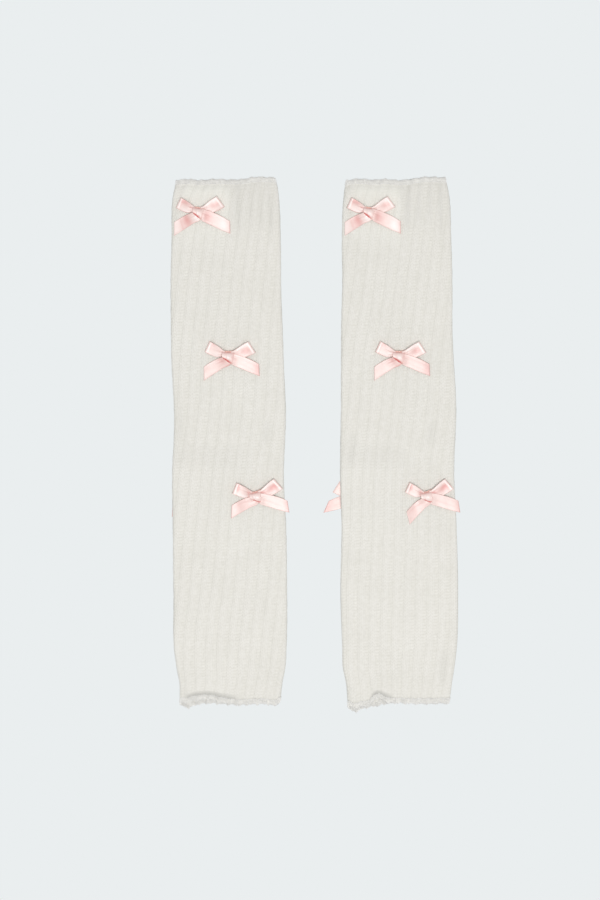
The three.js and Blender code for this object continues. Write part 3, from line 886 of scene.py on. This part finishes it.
rightLoop = table(
    "a b bulge gather",
    ((2.4, 4.4, 3.3), (3.2, 0.2, 2.6), 0.3, 0.3),
    ((5.0, 5.2, 3.6), (6.6, -0.4, 2.4), 0.4, 0.3),
    ((8.6, 7.6, 3.9), (11.6, -1.2, 2.2), 0.2, 0.1),
    ((12.8, 10.4, 3.9), (17.6, 0.6, 2.4), -0.2, 0.0),
    ((17.4, 12.8, 3.7), (23.4, 3.4, 3.1), -0.1, 0.0),
)
knot = table(
    "a b bulge gather",
    ((-5.4, 5.8, 1.6), (5.6, 5.6, 1.6), -1.5, 0.1),
    ((-5.4, 5.3, 2.9), (5.4, 5.1, 2.8), -1.3, 0.12),
    ((-5.2, 3.2, 4.2), (5.2, 3.0, 4.0), -0.2, 0.2),
    ((-5.4, 1.2, 4.6), (4.6, -0.8, 4.7), 0.0, 0.14),
    ((-4.8, -0.7, 4.2), (4.0, -3.6, 4.4), 0.1, 0.14),
    ((-3.4, -1.9, 2.8), (3.4, -6.2, 2.9), 0.4, 0.12),
    ((-2.6, -1.2, 1.2), (2.8, -5.2, 1.2), 0.2, 0.0),
    ((-3.6, 3.0, 0.8), (3.6, 2.0, 0.8), 0.0, 0.0),
)


# How each bow differs: degrees that a stretch is turned about the knot, how much longer it is, and
# what is added to its bulge. A wave is the height in mm of one more ripple along it, and a cut is how
# many mm farther right a tail's edge b runs at its cut end, or left where the bow is turned over.
def bowShape(*rows):
    return {row["on"]: row for row in table("on turn longer bulge wave cut", *rows)}


bowOne = bowShape(
    ("leftTail", -1.0, 0.98, -0.1, 0.5),
    ("rightTail", -1.8, 1.04, 0.0, 0.5),
    ("leftLoop", -0.6, 0.95, 0.1, 0.15),
    ("rightLoop", 4.0, 0.97, -0.1, 0.0),
    ("knot", -5.0, 0.93, 0.0, 0.0),
)
bowTwo = bowShape(
    ("leftTail", 0.0, 1.0, 0.0, 0.0),
    ("rightTail", 0.0, 1.0, 0.0, 0.0),
    ("leftLoop", 0.0, 1.0, 0.0, 0.15),
    ("rightLoop", 0.0, 1.0, 0.0, 0.0),
    ("knot", 0.0, 1.0, 0.0, 0.0),
)
bowThree = bowShape(
    ("leftTail", -3.0, 0.96, 0.0, -0.2),
    ("rightTail", 6.2, 1.01, 0.1, 0.0),
    ("leftLoop", 3.4, 0.98, 0.1, -0.25),
    ("rightLoop", 8.2, 1.01, 0.0, 0.1),
    ("knot", 14.0, 0.95, 0.0, 0.0),
)
bowFour = dict(bowThree, **bowShape(
    ("leftTail", 14.0, 0.95, 0.0, 0.0),
    ("leftLoop", 0.0, 0.93, 0.1, -0.2),
))
bowBack = dict(bowTwo, **bowShape(("rightTail", 5.0, 1.0, 0.0, 0.0, 3.2)))

# Creases pressed into the stretches: the station and the place across, from -1 at edge a to 1 at
# edge b, the half length in stations, the half width, the depth in mm and how much painted shade,
# a deeper pink, lies there, or how much painted highlight where that is below 0.
# The slant is how many stations farther on the crease lies at edge b than in the middle.
foldLines = table(
    "on at across long wide deep pink slant",
    ("leftLoop", 4.95, 0.0, 0.3, 3.0, 0.0, 0.6),
    ("rightLoop", 4.95, 0.0, 0.3, 3.0, 0.0, 0.5),
    ("leftLoop", 3.84, 0.0, 0.16, 1.6, 0.0, -0.8),
    ("rightLoop", 3.84, 0.0, 0.16, 1.6, 0.0, -0.8),
    ("leftLoop", 3.45, 0.0, 0.22, 1.2, 0.1, 0.2),
    ("rightLoop", 2.6, -0.9, 1.2, 0.3, 0.0, -0.6),
    ("leftLoop", 2.2, 0.7, 1.1, 0.35, 0.0, -0.5),
    ("leftLoop", 0.9, -0.2, 0.9, 0.12, 0.25, 0.2),
    ("leftLoop", 1.0, 0.4, 0.8, 0.12, 0.25, 0.2),
    ("leftLoop", 0.5, 1.0, 0.6, 0.25, 0.0, 0.7),
    ("rightLoop", 1.1, -0.15, 1.0, 0.12, 0.25, 0.2),
    ("knot", 1.8, 0.1, 0.45, 1.4, 0.2, 0.42),
    ("knot", 3.4, 0.1, 0.7, 0.4, 0.0, -0.5),
    ("knot", 3.6, -0.3, 0.5, 0.14, 0.14, 0.14),
    ("knot", 3.8, 0.2, 0.5, 0.14, 0.14, 0.1),
)
creasesOne = foldLines + table(
    "on at across long wide deep pink slant",
    ("leftLoop", 2.9, -0.7, 1.1, 0.45, 0.4, 0.45),
    ("leftLoop", 1.3, -0.2, 0.4, 0.3, 0.2, 0.25),
    ("rightLoop", 3.1, 0.0, 0.8, 0.45, 0.2, 0.34),
    ("rightLoop", 1.6, 0.5, 0.5, 0.15, 0.2, 0.3),
    ("knot", 4.6, -0.45, 0.42, 0.9, 0.0, 1.7, 0.3),
    ("knot", 3.4, 0.7, 0.8, 0.3, 0.3, 0.15),
    ("leftTail", 0.9, 0.3, 0.7, 0.6, 0.0, -0.8),
    ("leftTail", 2.7, -0.1, 0.75, 1.3, 0.0, 0.5),
    ("leftTail", 4.6, 0.0, 0.5, 1.3, 0.0, -0.35),
    ("leftTail", 3.75, 0.0, 0.14, 2.0, 0.15, 0.2),
    ("rightTail", 1.9, 0.0, 0.8, 1.0, 0.2, 0.45),
    ("rightTail", 4.2, 0.0, 0.55, 1.1, 0.0, -0.7),
    ("rightTail", 5.0, 0.0, 0.22, 2.0, 0.1, 0.3),
)
creasesTwo = foldLines + table(
    "on at across long wide deep pink slant",
    ("leftLoop", 3.2, -0.9, 0.8, 0.4, 0.1, 0.22),
    ("leftLoop", 2.6, 0.85, 1.2, 0.25, 0.2, 0.2),
    ("rightLoop", 3.0, 0.05, 0.8, 0.45, 0.3, 0.42),
    ("rightLoop", 1.3, 0.6, 0.8, 0.35, 0.2, 0.25),
    ("knot", 4.6, -0.35, 0.42, 1.0, 0.0, 1.7, 0.3),
    ("knot", 3.2, 0.85, 0.8, 0.25, 0.2, 0.3),
    ("leftTail", 1.5, -0.4, 0.8, 0.8, 0.3, 0.35),
    ("leftTail", 1.0, 0.95, 1.2, 0.2, 0.0, 0.5),
    ("leftTail", 4.7, -0.7, 0.5, 0.5, 0.1, 0.1),
    ("rightTail", 1.2, 0.0, 0.8, 1.4, 0.1, 0.12),
    ("rightTail", 2.5, -0.5, 1.8, 0.12, 0.1, 0.1),
    ("rightTail", 3.0, 0.3, 1.5, 0.12, 0.08, 0.08),
    ("rightTail", 4.9, 0.0, 0.6, 2.0, 0.1, 0.32),
)
creasesThree = foldLines + table(
    "on at across long wide deep pink slant",
    ("leftLoop", 3.3, -0.4, 0.5, 0.6, 0.3, 0.38),
    ("leftLoop", 0.9, -0.1, 0.6, 0.8, 0.3, 0.35),
    ("rightLoop", 3.2, 0.0, 0.9, 0.5, 0.3, 0.65),
    ("rightLoop", 0.9, 0.2, 0.8, 0.7, 0.1, 0.6),
    ("knot", 4.5, -0.4, 0.3, 0.4, 0.1, 1.2),
    ("knot", 4.8, 0.5, 0.3, 0.45, 0.0, 1.2),
    ("leftTail", 3.5, 0.0, 2.4, 2.0, 0.0, 0.12),
    ("leftTail", 3.2, -0.4, 1.5, 0.12, 0.1, 0.1),
    ("rightTail", 3.0, 0.2, 1.5, 0.12, 0.08, 0.12),
    ("rightTail", 4.9, 0.0, 0.3, 2.0, 0.1, 0.25),
)
bowPlaces = table(
    "name leg x y shape creases",
    ("left_1", 0, -99.3, 197.3, bowOne, creasesOne),
    ("left_2", 0, -73.8, 74.5, bowTwo, creasesTwo),
    ("left_3", 0, -50.3, -44.7, bowThree, creasesThree),
    ("right_1", 1, 46.1, 197.3, bowOne, creasesOne),
    ("right_2", 1, 71.4, 74.5, bowTwo, creasesTwo),
    ("right_3", 1, 95.3, -44.7, bowFour, creasesThree),
)
pressedPlaces = table(
    "name leg x y shape creases",
    ("left_back", 0, -95.2, -45.6, bowTwo, creasesTwo),
    ("right_back", 1, 38.7, -44.4, bowBack, creasesTwo),
)


def turned(point, shape):
    # a stretch turns more the farther it is from the knot
    x, y, z = point
    angle = math.radians(shape["turn"]) * min(1, math.hypot(x, y) / 5)
    x, y = x * shape["longer"], y * shape["longer"]
    return (x * math.cos(angle) - y * math.sin(angle), x * math.sin(angle) + y * math.cos(angle), z)


def shaped(stations, shape):
    last = len(stations) - 1
    result = []
    for i, station in enumerate(stations):
        share = i / last
        lift = shape["wave"] * math.sin(share * 2 * math.pi)
        a, b = turned(station["a"], shape), turned(station["b"], shape)
        b = (b[0] + shape.get("cut", 0) * share**4, b[1], b[2])
        bulge = station["bulge"] + shape["bulge"] * math.sin(share * math.pi)
        result.append([a[0], a[1], a[2] + lift, b[0], b[1], b[2] + lift, bulge, station["gather"]])
    return result


def looped(rows):
    # the front of a loop, its turn at the end and its back
    front = [list(row) for row in rows]
    end, before = front[-1], front[-2]
    heading = np.array([end[0] + end[3] - before[0] - before[3], end[1] + end[4] - before[1] - before[4]])
    heading = heading / np.linalg.norm(heading) * ribbon["endInset"]
    turn = list(end)
    inset = list(end)
    for i in (0, 3):
        inset[i] -= heading[0]
        inset[i + 1] -= heading[1]
    backEnd = list(inset)
    level = ribbon["backLevel"]
    turn[2], turn[5] = (end[2] + level) / 2, (end[5] + level) / 2
    turn[6], turn[7] = end[6] * 0.3, 0
    backEnd[2] = backEnd[5] = level
    backEnd[6] = 0
    back = [list(row) for row in front[-2::-1]]
    for row in back:
        row[2] = row[5] = level
        row[6] = 0
    return front[:-1] + [inset, turn, backEnd] + back


def throughStations(rows, steps, ring):
    # a smooth curve through the rows of a table
    rows = np.array(rows, float)
    count = len(rows)
    spans = count if ring else count - 1
    before = np.roll(rows, 1, 0)
    after = np.roll(rows, -1, 0)
    slope = (after - before) / 2
    if not ring:
        slope[0], slope[-1] = rows[1] - rows[0], rows[-1] - rows[-2]
    result = []
    for i in range(spans):
        j = (i + 1) % count
        for t in np.arange(steps) / steps:
            result.append((2 * t**3 - 3 * t**2 + 1) * rows[i] + (t**3 - 2 * t**2 + t) * slope[i]
                          + (-2 * t**3 + 3 * t**2) * rows[j] + (t**3 - t**2) * slope[j])
    if not ring:
        result.append(rows[-1])
    return np.array(result)


def surfaceNormals(middle, ring):
    down = np.roll(middle, -1, 0) - np.roll(middle, 1, 0) if ring else np.gradient(middle, axis=0)
    across = np.gradient(middle, axis=1)
    normal = np.cross(across, down)
    return normal / np.linalg.norm(normal, axis=2, keepdims=True)


def mapAlong(middle, start, ring):
    # centimetres from the knot; on the knot itself it grows with the height, so its foot gets the most
    # painted shade
    if ring:
        return 0.1 + 0.8 * np.clip((middle[..., 2] - 1.2) / 3.4, 0, 1) ** 2
    return np.linalg.norm(middle[..., :2], axis=2) / 10 + start


def creasesAt(station, s, creases):
    depth = np.zeros((len(station), len(s)))
    # pink is the painted shade, or the painted highlight where below 0
    pink = np.zeros_like(depth)
    for c in creases:
        along = station[:, None] - c["at"] - c.get("slant", 0) * s[None]
        soft = np.exp(-(along / c["long"]) ** 2) * np.exp(-((s - c["across"]) / c["wide"]) ** 2)[None]
        depth += c["deep"] * soft
        pink += c["pink"] * soft
    return depth, pink


def ribbonShell(stations, creases, start=0.0, ring=False):
    # both faces and the edges of one stretch of ribbon
    r = ribbon
    rows = throughStations(stations, r["rowsPerStation"], ring)
    s = np.linspace(-1, 1, r["columns"])
    edgeA, edgeB = rows[:, 0:3], rows[:, 3:6]
    flat = edgeA[:, None] * ((1 - s) / 2)[None, :, None] + edgeB[:, None] * ((1 + s) / 2)[None, :, None]
    normal = surfaceNormals(flat, ring)
    gathers = np.cos(3.2 * math.pi * s + 0.7) * 0.6 + np.cos(5.1 * math.pi * s + 2) * 0.4
    rim = r["rim"] * np.clip((np.abs(s) - 0.8) / 0.2, 0, 1)
    depth, pink = creasesAt(np.arange(len(rows)) / r["rowsPerStation"], s, creases)
    relief = rows[:, 6:7] * (1 - s**2)[None] + rows[:, 7:8] * gathers[None] + rim[None] - depth
    # a stretch that runs to the left has its face on the other side
    relief *= np.sign(normal[3 * r["rowsPerStation"], :, 2].mean())
    middle = flat + normal * relief[..., None]
    normal = surfaceNormals(middle, ring)
    half = normal * (r["thick"] / 2)
    points = np.concatenate([(middle + half).reshape(-1, 3), (middle - half).reshape(-1, 3)])
    number, columns = middle.shape[:2]
    count = number * columns
    grid = gridFaces(number + 1 if ring else number, columns, closed=False) % count

    def edge(here, there):
        return np.stack([here, there, there + count, here + count], 1)

    rowStart = np.arange(number if ring else number - 1) * columns
    nextStart = (rowStart + columns) % count
    last = columns - 1
    edges = [edge(rowStart, nextStart)[:, ::-1], edge(rowStart + last, nextStart + last)]
    if not ring:
        c = np.arange(last)
        end = count - columns
        edges += [edge(c, c + 1), edge(end + c, end + c + 1)[:, ::-1]]
    faces = [grid[:, ::-1], grid + count, np.concatenate(edges)]
    away = mapAlong(middle, start, ring)
    one = np.stack([np.broadcast_to((s + 1) / 2, middle.shape[:2]), away], -1).reshape(-1, 2)
    return points, faces, np.concatenate([one, one]), np.concatenate([pink.ravel(), pink.ravel()])


def bowParts(shape, creases):
    def on(name):
        return [c for c in creases if c["on"] == name]

    return [ribbonShell(shaped(leftTail, shape["leftTail"]), on("leftTail"), start=0.5),
            ribbonShell(looped(shaped(leftLoop, shape["leftLoop"])), on("leftLoop"), start=0.2),
            ribbonShell(looped(shaped(rightLoop, shape["rightLoop"])), on("rightLoop"), start=0.2),
            ribbonShell(shaped(rightTail, shape["rightTail"]), on("rightTail"), start=0.4),
            ribbonShell(shaped(knot, shape["knot"]), on("knot"), ring=True)]


def joinParts(parts):
    points, uvs, creases, first = [], [], [], 0
    faces = [[], [], []]
    for partPoints, partFaces, partUvs, partPaintedShade in parts:
        points.append(partPoints)
        uvs.append(partUvs)
        creases.append(partPaintedShade)
        for block, partBlock in zip(faces, partFaces):
            block.append(partBlock + first)
        first += len(partPoints)
    faces = [np.concatenate(block) for block in faces]
    uvs = np.concatenate(uvs)
    return np.concatenate(points), faces, [uvs[block] for block in faces], np.concatenate(creases)


def buildBow(place, material, turnedOver=False):
    points, faces, uvs, creases = joinParts(bowParts(place["shape"], place["creases"]))
    if turnedOver:
        points[:, 0] *= -1
        points[:, 2] = np.maximum(ribbon["pressedHigh"] - points[:, 2] * ribbon["pressedSquash"], 0.02)
    points[:, :2] += (place["x"], place["y"])
    if not turnedOver:
        leg = legs[place["leg"]]
        # a tail that runs past the leg's side stays level there
        left, right = (readColumn(leg["outline"], "y", points[:, 1], side) for side in ("left", "right"))
        x = np.clip(points[:, 0], left + ribbon["levelFrom"], right - ribbon["levelFrom"])
        points[:, 2] += ribbon["base"] + raiseAt(leg, x, points[:, 1]) + puffAt(leg, x, points[:, 1])
    piece = makeMesh("satin_bow_" + place["name"], points, faces, material, uvs, creases)
    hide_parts("bow_" + place["name"])
    return piece


satinMaterial = makeSatin(satinFinish)
for place in bowPlaces:
    buildBow(place, satinMaterial)
for place in pressedPlaces:
    buildBow(place, satinMaterial, turnedOver=True)
print("bows tied")


# floor and light

studio = {
    "backdrop": srgb(234, 238, 239),
    "size": 6.0,
    "under": -0.0004,         # m, just under the floor line
    "sky": 0.42,
    "key": 61.5,              # W
    "keySize": 1.5,           # m
    "keyPlace": (0.1, -0.5, 3.0),
}


def makeBackdrop(s):
    # a lit sheet, so that no shadow falls on it
    half = s["size"] / 2
    mesh = bpy.data.meshes.new("litBackdrop")
    corners = [(-half, -half), (half, -half), (half, half), (-half, half)]
    mesh.from_pydata([(x, y, s["under"]) for x, y in corners], [], [(0, 1, 2, 3)])
    f = Finish("litBackdrop")
    f.set(Base_Color=(0, 0, 0, 1), Roughness=1.0, Specular_IOR_Level=0.0)
    f.set(Emission_Color=s["backdrop"], Emission_Strength=1.0)
    mesh.materials.append(f.material)
    backdrop = bpy.data.objects.new("litBackdrop", mesh)
    scene.collection.objects.link(backdrop)


def makeKey(s):
    data = bpy.data.lights.new("keyLamp", "AREA")
    data.shape = "DISK"
    data.size = s["keySize"]
    data.energy = s["key"]
    lamp = bpy.data.objects.new("keyLamp", data)
    lamp.location = s["keyPlace"]
    lamp.rotation_mode = "QUATERNION"
    lamp.rotation_quaternion = (-Vector(s["keyPlace"])).to_track_quat("-Z", "Y")
    scene.collection.objects.link(lamp)


def makeSky(strength):
    world = bpy.data.worlds.new("softSky")
    world.use_nodes = True
    background = world.node_tree.nodes["Background"]
    background.inputs["Color"].default_value = (1, 1, 1, 1)
    background.inputs["Strength"].default_value = strength
    scene.world = world


makeBackdrop(studio)
makeKey(studio)
makeSky(studio["sky"])
scene.view_settings.view_transform = "Standard"
print("studio lit")
